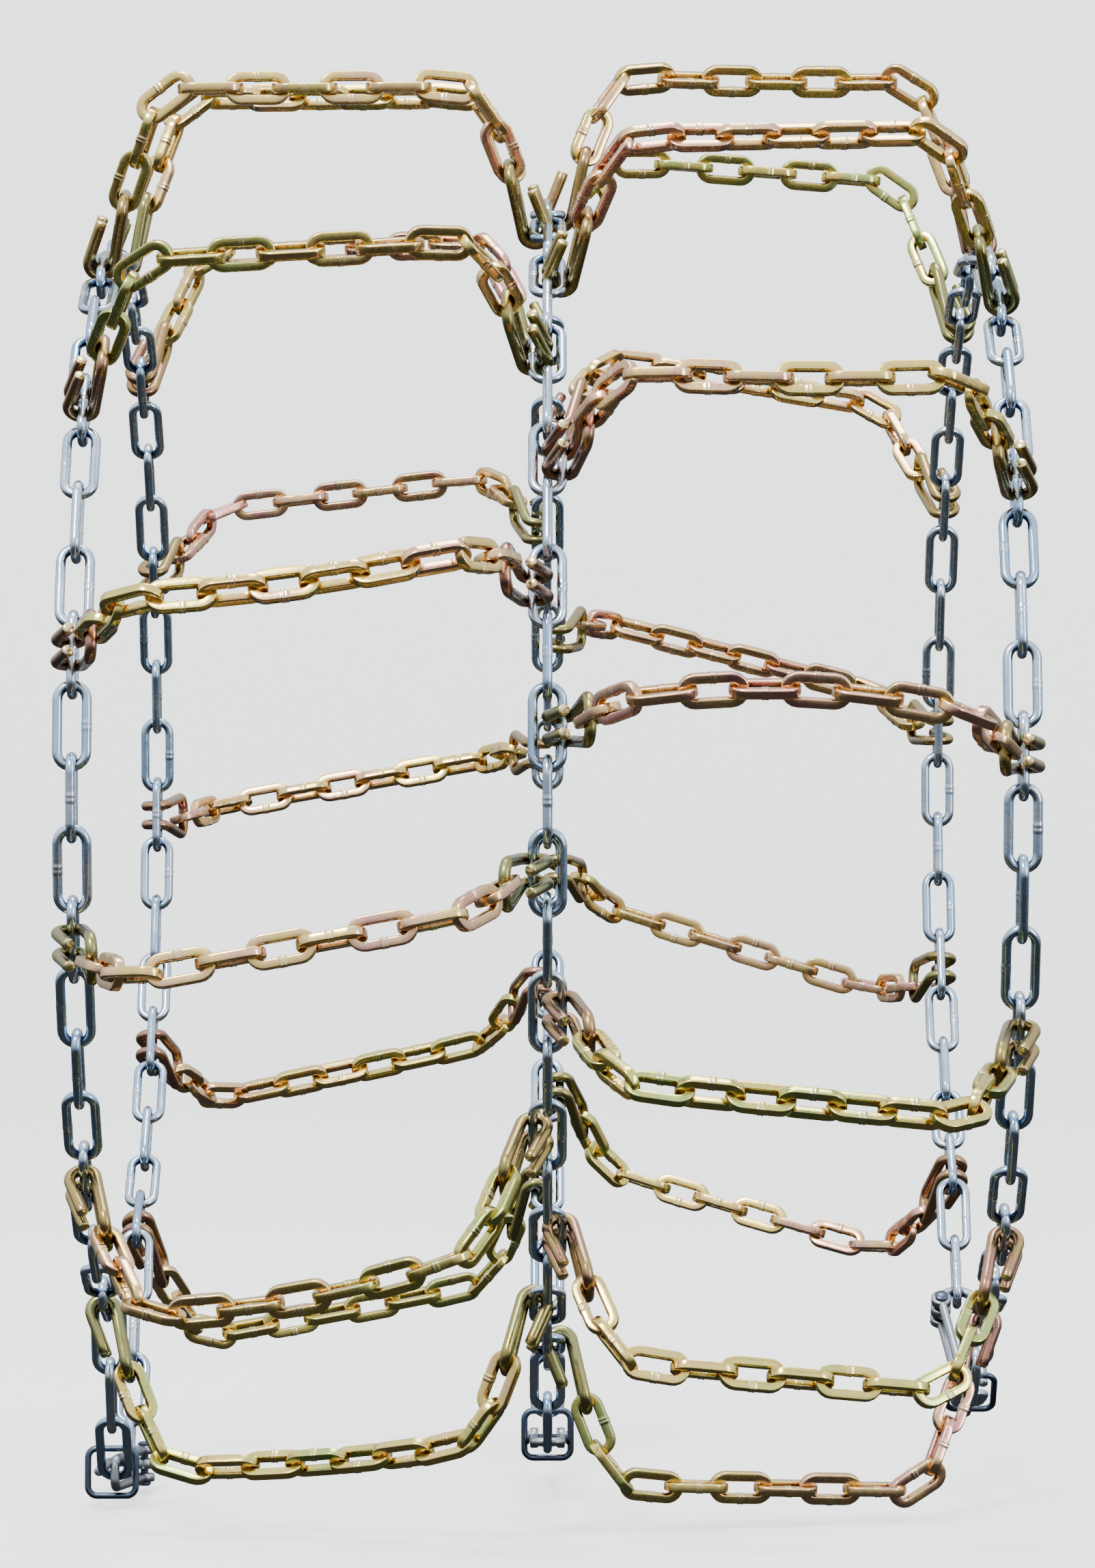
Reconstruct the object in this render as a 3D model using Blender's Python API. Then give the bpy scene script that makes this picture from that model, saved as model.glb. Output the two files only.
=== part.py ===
"""Tyre chain set for a pair of dual truck wheels, in the shape it takes on the wheels.

Three side chains circle the axle: one on each outer sidewall and one between the tyres. Cross
chains of square-section links lie over each tread, and a hook at each of their ends grips a side
chain. A lever fastener closes each side chain at the bottom.

Frame: origin on the axle midway between the tyres, +X along the axle, +Z up, -Y to the front.
An angle round the axle is 0 at the front and grows upwards.
"""

import math

import bmesh
import bpy
from mathutils import Matrix, Vector

# Wheels that the set fits
TYRE_X = 0.165  # tyre centre from the middle of the axle
SHOULDER_HALF = 0.114  # half of the tread width where a cross chain turns over the shoulder
TREAD_RANGE = (0.520, 0.550)  # radius of a cross chain's middle line over the tread
SHOULDER_ROUND = 0.030
SHOULDER_PARTS = 8  # straight parts of that rounding
PATH_STEP = 0.004  # between points of a cross chain's middle line

# Side chains
SIDE_X = 0.325
SIDE_RADIUS = 0.398
MIDDLE_RADIUS = 0.4295
SIDE_WIRE = 0.0069
SIDE_LENGTH = 0.0630
SIDE_WIDTH = 0.0270
SIDE_PITCH = 0.0494
SIDE_BAR = (SIDE_WIDTH - SIDE_WIRE) / 2  # middle line of a link's long bar from the link's own
LINKS_PER_GROUP = 9
SPARE_LINKS = {"left": (3, 4), "middle": (2, 3), "right": (3, 2)}  # before and after the lever

# Cross chains
CROSS_COUNT = 12
CROSS_LINKS = 11
CROSS_ROD = 0.007
CROSS_LENGTH = 0.048
CROSS_WIDTH = 0.024
CROSS_PITCH = 0.034
CROSS_ROLLS = (math.radians(65), math.radians(-18))  # links lie by turns on edge and flat

# End hooks of the cross chains
HOOK_ROD = 0.0086
HOOK_SPREAD = 0.00775  # each curl from the hook's middle line
CURL_HALF = 0.0100  # half of the distance between a curl's two arms
CURL_BACK = 0.0098  # back of a curl behind the side chain's bar
PRONG_END = 0.029
BIGHT_REACH = 0.050  # end of the bight from the side chain's bar
BIGHT_HALF = 0.0165
FIRST_LINK = 0.063  # middle of the first link from the side chain's bar
CROSS_PATH = 2 * FIRST_LINK + (CROSS_LINKS - 1) * CROSS_PITCH

# Cross chains whose slack lets the tread part slip round the tyre, and by how many degrees
SLIPS = {"left": {9: -1.3, 11: -2.8, 12: -3.8}, "right": {6: 3.0, 8: -0.8, 9: 2.7}}

# Where each set of hooks starts, as an angle round the axle; each goes over the top to the front
FIRST_ANGLE = {"left": 240.6, "right": 230.5, "middle": 229.3}

# Lever fasteners
LEVER_SPAN = 0.120  # from the last link before it to the first link after it
LEVER_ROD = 0.0078
LEVER_ARC = 0.014  # radius of the lever's bend
LEVER_ARC_AT = 0.007  # middle of the bend past the pivot pin
LEVER_ARC_PARTS = 8
LEVER_TIP = 0.024  # end of the lever from the shackle's bend
SHACKLE_SEAT = 0.0050  # middle line of the shackle's bend from the joint that it takes
LEVER_SEAT = 0.0058  # middle line of the rod inside the link that it holds
LEVER_SIDE = 0.0030  # how far it lies to one side there where that link hangs askew
SHACKLE_ROD = 0.007
SHACKLE_HALF = 0.0105
SHACKLE_CORNER = 0.0030
CHEEK_HALF = 0.0032  # half of the thickness of the shackle's two eyes
EYE_RADIUS = 0.008
EYE_HOLE = 0.0034
PIN_RADIUS = 0.0030
PIN_HEAD = 0.0052
PIN_HALF = 0.0170
PIN_GAP = 0.0004  # between a pin's head and the eye beside it
KEEPER_ROD = 0.005
KEEPER_AT = 0.0155  # parked, where the lever is free; it slides on from here over the lever's end
KEEPER_HALF = (0.0177, 0.0180)  # half of its width and of its height
KEEPER_RISE = 0.0035

NECK = 0.0018  # half of the gap between two links in a run, which a neck bridges
FREE_END = 0.0016  # both ends of a run are this much short, which keeps it off the next run
WELD_DISTANCE = 1e-6

X_AXIS = Vector((1, 0, 0))


# ---------------------------------------------------------------- scene and materials


def clear_scene():
    for obj in list(bpy.data.objects):
        bpy.data.objects.remove(obj, do_unlink=True)


def new_collection(name):
    made = bpy.data.collections.new(name)
    bpy.context.scene.collection.children.link(made)
    return made


def plated(name, colour, roughness):
    material = bpy.data.materials.new(name)
    material.use_nodes = True
    shader = material.node_tree.nodes["Principled BSDF"]
    shader.inputs["Base Color"].default_value = (*colour, 1)
    shader.inputs["Metallic"].default_value = 1
    shader.inputs["Roughness"].default_value = roughness
    return material


clear_scene()
CHAINS = new_collection("tire_snow_chains")
HELPERS = new_collection("helpers")
YELLOW_ZINC = plated("yellow_zinc", (0.72, 0.60, 0.38), 0.30)
CLEAR_ZINC = plated("clear_zinc", (0.62, 0.68, 0.74), 0.28)
LEVER_STEEL = plated("lever_steel", (0.42, 0.45, 0.48), 0.38)


# ---------------------------------------------------------------- shapes


def mesh_of_curve(curve):
    """The closed mesh that a curve makes, with its caps welded on."""
    holder = bpy.data.objects.new("curve", curve)
    HELPERS.objects.link(holder)
    graph = bpy.context.evaluated_depsgraph_get()
    mesh = bpy.data.meshes.new_from_object(holder.evaluated_get(graph))
    bpy.data.objects.remove(holder, do_unlink=True)
    work = bmesh.new()
    work.from_mesh(mesh)
    bmesh.ops.remove_doubles(work, verts=work.verts, dist=WELD_DISTANCE)
    bmesh.ops.recalc_face_normals(work, faces=work.faces)
    work.to_mesh(mesh)
    work.free()
    return mesh


def rod(points, diameter, closed=False, roundness=0, tilt=0.0):
    """A bent rod along the points."""
    curve = bpy.data.curves.new("rod", "CURVE")
    curve.dimensions = "3D"
    curve.bevel_depth = diameter / 2
    curve.bevel_resolution = roundness
    curve.use_fill_caps = not closed
    spline = curve.splines.new("POLY")
    spline.points.add(len(points) - 1)
    for at, point in zip(spline.points, points):
        at.co = (*point, 1)
        at.tilt = tilt
    spline.use_cyclic_u = closed
    return mesh_of_curve(curve)


def chain_link(length, width, bar, pitch):
    """A link with its length along X and its width along Y; its hole ends NECK past the pitch."""
    x, y = (length - bar) / 2, (width - bar) / 2
    corners = [(-x, -y, 0), (x, -y, 0), (x, y, 0), (-x, y, 0)]
    mesh = rod(corners, 2 * bar, closed=True, tilt=math.radians(45))
    mesh.transform(Matrix.Diagonal((1, 1, math.sqrt(0.5), 1)))  # a square bend thins a rod this much
    for vertex in mesh.vertices:
        if abs(vertex.co.x) < x:
            vertex.co.x = math.copysign(pitch / 2 + NECK, vertex.co.x)
    return mesh


def draw_in(link, sign):
    """Shortens one end of a link, which keeps a run off the next run."""
    reach = max(vertex.co.x for vertex in link.vertices)
    for vertex in link.vertices:
        if vertex.co.x * sign > reach - NECK:
            vertex.co.x = (reach - FREE_END) * sign


def hole_ends(link):
    """Numbers of the two faces that close a link's hole along X, the one at -X first."""
    across = [face for face in link.polygons if round(abs(face.normal.x)) == 1]
    inner = sorted(across, key=lambda face: abs(face.center.x))[:2]
    return [face.index for face in sorted(inner, key=lambda face: face.center.x)]


def linked(link, places):
    """One mesh of a run of links, each joined to the next by a neck inside both of their holes."""
    work = bmesh.new()
    for index, place in enumerate(places):
        copy = link.copy()
        if index == 0:
            draw_in(copy, -1)
        if index == len(places) - 1:
            draw_in(copy, 1)
        copy.transform(place)
        work.from_mesh(copy)
        bpy.data.meshes.remove(copy)
    work.faces.ensure_lookup_table()
    near, far = hole_ends(link)
    count = len(link.polygons)
    facing = [
        (work.faces[i * count + far], work.faces[(i + 1) * count + near])
        for i in range(len(places) - 1)
    ]
    for pair in facing:
        edges = [edge for face in pair for edge in face.edges]
        bmesh.ops.delete(work, geom=list(pair), context="FACES_ONLY")
        bmesh.ops.bridge_loops(work, edges=edges)
    bmesh.ops.recalc_face_normals(work, faces=work.faces)
    mesh = bpy.data.meshes.new("linked")
    work.to_mesh(mesh)
    work.free()
    return mesh


def cylinder(radius, start, end, sides=12):
    """A closed cylinder from start to end."""
    work = bmesh.new()
    along = Vector(end) - Vector(start)
    turn = along.to_track_quat("Z", "Y").to_matrix().to_4x4()
    place = Matrix.Translation((Vector(start) + Vector(end)) / 2) @ turn
    bmesh.ops.create_cone(
        work,
        cap_ends=True,
        segments=sides,
        radius1=radius,
        radius2=radius,
        depth=along.length,
        matrix=place,
    )
    mesh = bpy.data.meshes.new("cylinder")
    work.to_mesh(mesh)
    work.free()
    return mesh


def joined(name, pieces):
    """One mesh from (mesh, placing matrix) pairs that don't touch each other."""
    work = bmesh.new()
    for mesh, place in pieces:
        copy = mesh.copy()
        copy.transform(place)
        work.from_mesh(copy)
        bpy.data.meshes.remove(copy)
    mesh = bpy.data.meshes.new(name)
    work.to_mesh(mesh)
    work.free()
    return mesh


def helper(name, mesh):
    made = bpy.data.objects.new(name, mesh)
    HELPERS.objects.link(made)
    made.hide_render = True
    made.display_type = "WIRE"
    return made


def combine(obj, other, operation):
    modifier = obj.modifiers.new(operation.lower(), "BOOLEAN")
    modifier.operation = operation
    modifier.object = other


def add_node(name, material, pieces, origin=None):
    """An object of the first (mesh, placing matrix) pair, united with the second if there is one."""
    mesh = joined(name, pieces[:1])
    node = bpy.data.objects.new(name, mesh)
    CHAINS.objects.link(node)
    mesh.materials.append(material)
    if len(pieces) > 1:
        combine(node, helper(name + "_other", joined(name + "_other", pieces[1:])), "UNION")
    if origin is not None:
        mesh.transform(Matrix.Translation(-origin))
        node.location = origin
    return node


def frame(origin, along, across):
    """A placing matrix with its X along and its Y as near as possible to across."""
    x = along.normalized()
    y = (across - across.dot(x) * x).normalized()
    return Matrix.Translation(origin) @ Matrix((x, y, x.cross(y))).transposed().to_4x4()


# ---------------------------------------------------------------- layout round the axle


def around(x, radius, angle):
    return Vector((x, -radius * math.cos(angle), radius * math.sin(angle)))


def solved(low, high, miss):
    """Where the rising function miss crosses zero, by halving."""
    for _ in range(60):
        middle = (low + high) / 2
        if miss(middle) < 0:
            low = middle
        else:
            high = middle
    return (low + high) / 2


def hanging(start, end, lengths):
    """Joints of a chain of straight pieces that hangs from start to end, in the plane of start's X."""
    total = sum(lengths)
    middles = [sum(lengths[:i]) + length / 2 for i, length in enumerate(lengths)]
    across, rise = end.y - start.y, end.z - start.z

    def slopes(pull, lift):
        return [math.atan2(lift + middle, pull) for middle in middles]

    def height(pull, lift):
        return sum(run * math.sin(slope) for run, slope in zip(lengths, slopes(pull, lift)))

    def lift_at(pull):
        return solved(-20 * total, 20 * total, lambda lift: height(pull, lift) - rise)

    def width(pull):
        taut = slopes(pull, lift_at(pull))
        return sum(run * math.cos(slope) for run, slope in zip(lengths, taut))

    pull = solved(1e-4 * total, 10 * total, lambda pull: width(pull) - across)
    joints = [start]
    for length, slope in zip(lengths, slopes(pull, lift_at(pull))):
        joints.append(joints[-1] + Vector((0, length * math.cos(slope), length * math.sin(slope))))
    return joints


class SideChain:
    """Places of the links of one side chain, and of the gap that its lever fastener closes."""

    def __init__(self, name, x, radius, lead, arc_links):
        """lead is the number of links on the circle before the first one that holds a hook."""
        self.name = name
        self.step = 2 * math.asin(SIDE_PITCH / 2 / radius)
        self.first_angle = math.radians(FIRST_ANGLE[name])
        self.arc_links = arc_links
        arc = [
            around(x, radius, self.first_angle + self.step * (lead + 0.5 - i))
            for i in range(arc_links + 1)
        ]
        self.spare, last = SPARE_LINKS[name]
        lengths = [SIDE_PITCH] * self.spare + [LEVER_SPAN] + [SIDE_PITCH] * last
        bottom = hanging(arc[-1], arc[0], lengths)
        before = arc[:-1] + bottom[: self.spare + 1]
        after = bottom[self.spare + 1 :]
        self.spans = list(zip(before, before[1:])) + list(zip(after, after[1:]))

    def link(self, index):
        """Place of a link; every second one lies with its width along the axle."""
        a, b = self.spans[index]
        return frame((a + b) / 2, b - a, X_AXIS if index % 2 else (b - a).cross(X_AXIS))

    def groups(self):
        """Runs of link numbers; each run is one piece of chain."""
        starts = range(0, self.arc_links - LINKS_PER_GROUP // 2, LINKS_PER_GROUP)
        joints = [*starts, self.arc_links, self.arc_links + self.spare, len(self.spans)]
        return list(zip(joints, joints[1:]))


def tread_profile(side, outer, inner, tread_radius):
    """(x, radius) points of a cross chain from the outer side chain over the tread to the middle."""
    shoulders = [Vector((side * (TYRE_X + s * SHOULDER_HALF), tread_radius)) for s in (1, -1)]
    path = [outer, *shoulders, inner]
    points = [outer]
    for before, corner, after in zip(path, path[1:], path[2:]):
        into, out = (corner - before).normalized(), (after - corner).normalized()
        turn = into.angle(out)
        reach = SHOULDER_ROUND * math.tan(turn / 2)
        centre = corner + (out - into).normalized() * SHOULDER_ROUND / math.cos(turn / 2)
        first = (corner - into * reach - centre).normalized()
        last = (corner + out * reach - centre).normalized()
        for i in range(SHOULDER_PARTS + 1):
            points.append(centre + first.slerp(last, i / SHOULDER_PARTS) * SHOULDER_ROUND)
    return points + [inner]


class CrossPath:
    """Middle line of one cross chain, from the outer side chain's bar to the middle chain's bar."""

    def __init__(self, side, outer_angle, inner_angle, slip):
        """slip is the angle by which the middle of the line lies off the straight way across."""
        self.side = side
        self.angles = outer_angle, inner_angle, slip
        self.outer = Vector((side * SIDE_X, SIDE_RADIUS + SIDE_BAR))
        self.inner = Vector((side * SIDE_BAR, MIDDLE_RADIUS))
        radius = solved(*TREAD_RANGE, lambda r: self.measure(r) - CROSS_PATH)
        self.measure(radius)

    def measure(self, tread_radius):
        """Lays the line over a tread of this radius, and returns its length."""
        profile = tread_profile(self.side, self.outer, self.inner, tread_radius)
        dense = []
        for a, b in zip(profile, profile[1:]):
            parts = max(1, round((b - a).length / PATH_STEP))
            dense += [a.lerp(b, i / parts) for i in range(parts)]
        dense.append(profile[-1])
        flat = [0.0]
        for a, b in zip(dense, dense[1:]):
            flat.append(flat[-1] + (b - a).length)
        hook = FIRST_LINK - CROSS_PITCH / 2
        run = flat[-1] - 2 * hook
        outer_angle, inner_angle, slip = self.angles
        self.points, self.normals = [], []
        for i, (at, length) in enumerate(zip(dense, flat)):
            share = min(1, max(0, (length - hook) / run))
            angle = outer_angle + (inner_angle - outer_angle) * share
            angle += slip * math.sin(math.pi * share)
            ahead = dense[min(i + 1, len(dense) - 1)] - dense[max(i - 1, 0)]
            away = Vector((-ahead.y, ahead.x)).normalized() * -self.side
            self.points.append(around(at.x, at.y, angle))
            self.normals.append(around(away.x, away.y, angle))
        self.lengths = [0.0]
        for a, b in zip(self.points, self.points[1:]):
            self.lengths.append(self.lengths[-1] + (b - a).length)
        return self.lengths[-1]

    def at(self, length, values):
        for i in range(len(self.lengths) - 1):
            if length <= self.lengths[i + 1]:
                break
        share = (length - self.lengths[i]) / (self.lengths[i + 1] - self.lengths[i])
        return values[i].lerp(values[i + 1], share)

    def link(self, index):
        """Place of a link: its length along the line, turned about it by the link's roll."""
        middle = FIRST_LINK + index * CROSS_PITCH
        reach = CROSS_PITCH / 2
        along = self.at(middle + reach, self.points) - self.at(middle - reach, self.points)
        normal = self.at(middle, self.normals)
        across = normal.cross(along.normalized())
        place = frame(self.at(middle, self.points), along, across)
        return place @ Matrix.Rotation(CROSS_ROLLS[index % 2], 4, "X")

    def hook(self, from_inner):
        """Place of an end hook: X from the side chain's bar to the cross chain, Z off the tyre."""
        total = self.lengths[-1]
        start, end = (total, total - FIRST_LINK) if from_inner else (0, FIRST_LINK)
        start, end = self.at(start, self.points), self.at(end, self.points)
        normal = self.normals[-1 if from_inner else 0]
        along = end - start
        return frame(start, along, normal.cross(along))


# ---------------------------------------------------------------- pieces


def end_hook():
    """Rod bent to a wide bight, with both ends curled round the side chain and left as prongs."""

    def half(y):
        return [
            (PRONG_END, y, CURL_HALF),
            (-CURL_BACK, y, CURL_HALF),
            (-CURL_BACK, y, -CURL_HALF),
            (BIGHT_REACH, math.copysign(BIGHT_HALF, y), 0),
        ]

    return rod(half(-HOOK_SPREAD) + half(HOOK_SPREAD)[::-1], HOOK_ROD)


def add_cross_chain(name, path, link, hook):
    run = linked(link, [path.link(i) for i in range(CROSS_LINKS)])
    hooks = joined(name + "_hooks", [(hook, path.hook(False)), (hook, path.hook(True))])
    add_node(name, YELLOW_ZINC, [(run, Matrix()), (hooks, Matrix())], path.points[0])


def add_side_chain(chain):
    link = chain_link(SIDE_LENGTH, SIDE_WIDTH, SIDE_WIRE, SIDE_PITCH)
    for number, (start, end) in enumerate(chain.groups(), 1):
        run = linked(link, [chain.link(i) for i in range(start, end)])
        add_node(f"side_chain_{chain.name}_{number}", CLEAR_ZINC, [(run, Matrix())])


def eye_disc(at, half):
    """A disc of an eye's size round a line parallel to Y, and half thick to each side of at."""
    x, y, z = at
    return cylinder(EYE_RADIUS, (x, y - half, z), (x, y + half, z))


def bore(node, place, at, half):
    """Cuts an eye's hole through a node, along Y in the frame that place gives."""
    x, y, z = at
    hole = cylinder(EYE_HOLE, (x, y - half, z), (x, y + half, z))
    combine(node, helper(node.name + "_bore", joined("bore", [(hole, place)])), "DIFFERENCE")


def add_shackle(name, place, pin):
    """A bent rod whose two ends are eyes for the pin."""
    tilt = place @ frame(Vector(), pin, Vector((0, 1, 0)))
    length, half, corner = pin.length, SHACKLE_HALF, SHACKLE_CORNER
    legs = [
        (length, half, 0),
        (corner, half, 0),
        (0, half - corner, 0),
        (0, corner - half, 0),
        (corner, -half, 0),
        (length, -half, 0),
    ]
    eyes = [(eye_disc((length, sign * half, 0), CHEEK_HALF), Matrix()) for sign in (1, -1)]
    pieces = [(rod(legs, SHACKLE_ROD), tilt), (joined("eyes", eyes), tilt)]
    bore(add_node(name, LEVER_STEEL, pieces), tilt, (length, 0, 0), 2 * (half + CHEEK_HALF))


def add_lever(name, hinge, tip):
    """A rod that leaves its eye, bends half round and runs back to its tip; hinge places its eye."""
    turns = [math.pi * i / LEVER_ARC_PARTS for i in range(1, LEVER_ARC_PARTS + 1)]
    bend = [
        (LEVER_ARC_AT + LEVER_ARC * math.sin(a), 0, LEVER_ARC * (1 - math.cos(a))) for a in turns
    ]
    handle = [(EYE_RADIUS / 2, 0, 0), *bend, (tip, 0, 2 * LEVER_ARC)]
    half = LEVER_ROD / 2
    pieces = [(rod(handle, LEVER_ROD), hinge), (eye_disc((0, 0, 0), half), hinge)]
    bore(add_node(name, LEVER_STEEL, pieces, hinge.translation), hinge, (0, 0, 0), 2 * half)


def add_pin(name, hinge):
    head = PIN_HALF - SHACKLE_HALF - CHEEK_HALF - PIN_GAP
    shank_half = PIN_HALF - head / 2
    shank = cylinder(PIN_RADIUS, (0, -shank_half, 0), (0, shank_half, 0))
    heads = [
        (cylinder(PIN_HEAD, (0, sign * PIN_HALF, 0), (0, sign * (PIN_HALF - head), 0)), Matrix())
        for sign in (1, -1)
    ]
    add_node(name, LEVER_STEEL, [(shank, hinge), (joined("heads", heads), hinge)])


def add_keeper(name, place):
    """A rod ring with cut corners, round the shackle and the lever."""
    wide, tall = KEEPER_HALF
    side = [(wide - KEEPER_ROD, tall), (wide, tall - KEEPER_ROD)]
    side += [(y, -z) for y, z in side[::-1]]
    ring = side + [(-y, z) for y, z in side[::-1]]
    points = [(KEEPER_AT, y, KEEPER_RISE + z) for y, z in ring]
    origin = place @ Vector((KEEPER_AT, 0, 0))
    add_node(name, LEVER_STEEL, [(rod(points, KEEPER_ROD, closed=True), place)], origin)


def add_fastener(chain, away):
    """Shackle, pivot pin, lever and keeper ring, closed, with the lever on the side named away."""
    last = chain.arc_links + chain.spare
    before, after = chain.spans[last - 1], chain.spans[last]
    out = (after[1] - after[0]).normalized()
    across = away.cross(after[0] - before[1]).normalized()
    seat = after[0] + out * LEVER_SEAT + across * out.dot(across) * LEVER_SIDE
    pull = (out - across * out.dot(across)).normalized()
    centre = seat - pull * LEVER_ARC
    start = before[1] - (centre - before[1]).normalized() * SHACKLE_SEAT
    place = frame(start, centre - start, across)
    pin = Vector(((centre - start).length - LEVER_ARC_AT, 0, -LEVER_ARC))
    hinge = place @ Matrix.Translation(pin)
    name = f"fastener_{chain.name}_"
    add_shackle(name + "shackle", place, pin)
    add_lever(name + "lever", hinge, LEVER_TIP - pin.x)
    add_pin(name + "pin", hinge)
    add_keeper(name + "keeper", place)


def build():
    hooked = 4 * (CROSS_COUNT - 1) + 1
    left = SideChain("left", -SIDE_X, SIDE_RADIUS, 0, hooked)
    right = SideChain("right", SIDE_X, SIDE_RADIUS, 0, hooked)
    middle = SideChain("middle", 0, MIDDLE_RADIUS, 1, hooked + 4)
    link = chain_link(CROSS_LENGTH, CROSS_WIDTH, CROSS_ROD, CROSS_PITCH)
    hook = end_hook()
    for chain, side, first in ((left, -1, 0), (right, 1, 2)):
        for k in range(CROSS_COUNT):
            outer = chain.first_angle - 4 * k * chain.step
            inner = middle.first_angle - (4 * k + first) * middle.step
            slip = math.radians(SLIPS[chain.name].get(k + 1, 0))
            path = CrossPath(side, outer, inner, slip)
            add_cross_chain(f"cross_chain_{chain.name}_{k + 1:02d}", path, link, hook)
    for chain, away in ((left, -X_AXIS), (middle, Vector((0, 0, 1))), (right, X_AXIS)):
        add_side_chain(chain)
        add_fastener(chain, away)


build()
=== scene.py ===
"""Tyre chain set for a pair of dual truck wheels, rendered on a plain studio floor.

The layout repeats the rules of the CAD model: three side chains round the axle, cross chains of
square-section links over each tread, twin-prong hooks, and a lever fastener on each side chain.
Every link, hook and fastener is its own smooth shape here. Lengths are in metres, +X lies along the
axle, +Z is up and -Y is the front. An angle round the axle is 0 at the front and grows upwards.
"""

import math
import random

import bmesh
import bpy
from mathutils import Matrix, Vector


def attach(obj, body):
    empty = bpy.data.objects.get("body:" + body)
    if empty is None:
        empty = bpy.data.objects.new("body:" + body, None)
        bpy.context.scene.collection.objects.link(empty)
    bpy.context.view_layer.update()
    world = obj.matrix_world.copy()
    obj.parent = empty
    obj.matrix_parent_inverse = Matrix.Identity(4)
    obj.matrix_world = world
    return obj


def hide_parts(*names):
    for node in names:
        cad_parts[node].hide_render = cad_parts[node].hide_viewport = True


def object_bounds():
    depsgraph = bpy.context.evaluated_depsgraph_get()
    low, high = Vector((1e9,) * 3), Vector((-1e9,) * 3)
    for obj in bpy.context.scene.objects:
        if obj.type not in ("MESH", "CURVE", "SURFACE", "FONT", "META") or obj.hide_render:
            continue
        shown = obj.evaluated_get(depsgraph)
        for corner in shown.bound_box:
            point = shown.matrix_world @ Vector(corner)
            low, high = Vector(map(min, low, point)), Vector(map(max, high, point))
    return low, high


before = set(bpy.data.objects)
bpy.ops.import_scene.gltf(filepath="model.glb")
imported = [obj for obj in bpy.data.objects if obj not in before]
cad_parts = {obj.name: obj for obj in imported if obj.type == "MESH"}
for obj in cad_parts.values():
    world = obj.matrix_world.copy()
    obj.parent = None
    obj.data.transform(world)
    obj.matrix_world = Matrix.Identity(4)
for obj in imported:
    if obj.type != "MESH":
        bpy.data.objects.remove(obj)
CAD_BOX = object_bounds()
SEED = 11

# How bare the steel is, from 0 to 1: on a weld, and on the rim of a cut rod
WELD_CUT = 0.40
RIM_CUT = 0.6

# Wheels that the set fits
TYRE_X = 0.165
SHOULDER_HALF = 0.114
TREAD_RANGE = (0.520, 0.550)
SHOULDER_ROUND = 0.030
SHOULDER_PARTS = 8
PATH_STEP = 0.004

# Side chains
SIDE_X = 0.325
SIDE_RADIUS = 0.398
MIDDLE_RADIUS = 0.4295
SIDE_WIRE = 0.0069
SIDE_LENGTH = 0.063
SIDE_WIDTH = 0.027
SIDE_PITCH = 0.0494
SIDE_BAR = (SIDE_WIDTH - SIDE_WIRE) / 2
LINKS_PER_GROUP = 9
SPARE_LINKS = {"left": (3, 4), "middle": (2, 3), "right": (3, 2)}  # before and after the fastener
LEVER_SPAN = 0.120
SIDE_PLAY = math.radians(1)  # a side link turns at most this much about the chain's line

# Cross chains
CROSS_COUNT = 12
CROSS_LINKS = 11
CROSS_ROD = 0.0069
CROSS_LENGTH = 0.048
CROSS_WIDTH = 0.024
CROSS_PITCH = 0.034
CROSS_ROLLS = (math.radians(63), math.radians(-19))  # links lie by turns on edge and flat
CROSS_END_ROLLS = (math.radians(74), math.radians(-11))  # the same beside a hook
CROSS_PLAY = math.radians(6)
CROSS_EDGE = 0.36  # corner radius of the square rod, to half its width
ROW_TINT = 0.9  # the tint at each end of a cross chain is drawn from 0 to this
LINK_TINT = 0.12  # and a link's tint is at most this far off its place between them

# Welds: the height of the ring to the rod's half-width, and its half-length
CROSS_WELD = (0.13, 0.0030)
SIDE_WELD = (0.08, 0.0042)
WELD_RING = (0, 0.35, 1.0, 0.9, 0.25, 0.9, 1.0, 0.35, 0)  # heights along it
WELD_UNEVEN = 0.15
LINK_SHAPES = 4  # links with different welds, drawn at random

# End hooks
HOOK_ROD = 0.0083
HOOK_CHAMFER = 0.0007
HOOK_SPREAD = 0.00775
CURL_RADIUS = 0.0100
CURL_BEND = 0.915  # radius of a curl's bends to its own, so that two bends fit in its back
CURL_AT = 0.0002  # the curl's middle past the middle line of the side chain's bar
PRONG_END = 0.029
BIGHT_REACH = 0.0504
BIGHT_HALF = 0.0168
BIGHT_ROUND = 0.0100
FIRST_LINK = 0.063  # from the side chain's bar to the middle of the first cross link
CROSS_PATH = 2 * FIRST_LINK + (CROSS_LINKS - 1) * CROSS_PITCH

# Cross chains whose slack lets the tread part slip round the tyre, and by how many degrees
SLIPS = {"left": {9: -1.3, 11: -2.8, 12: -3.8}, "right": {6: 3.0, 8: -0.8, 9: 2.7}}

# Where the first cross chain is hooked, in degrees round the axle
FIRST_ANGLE = {"left": 240.6, "right": 230.5, "middle": 229.3}

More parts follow.
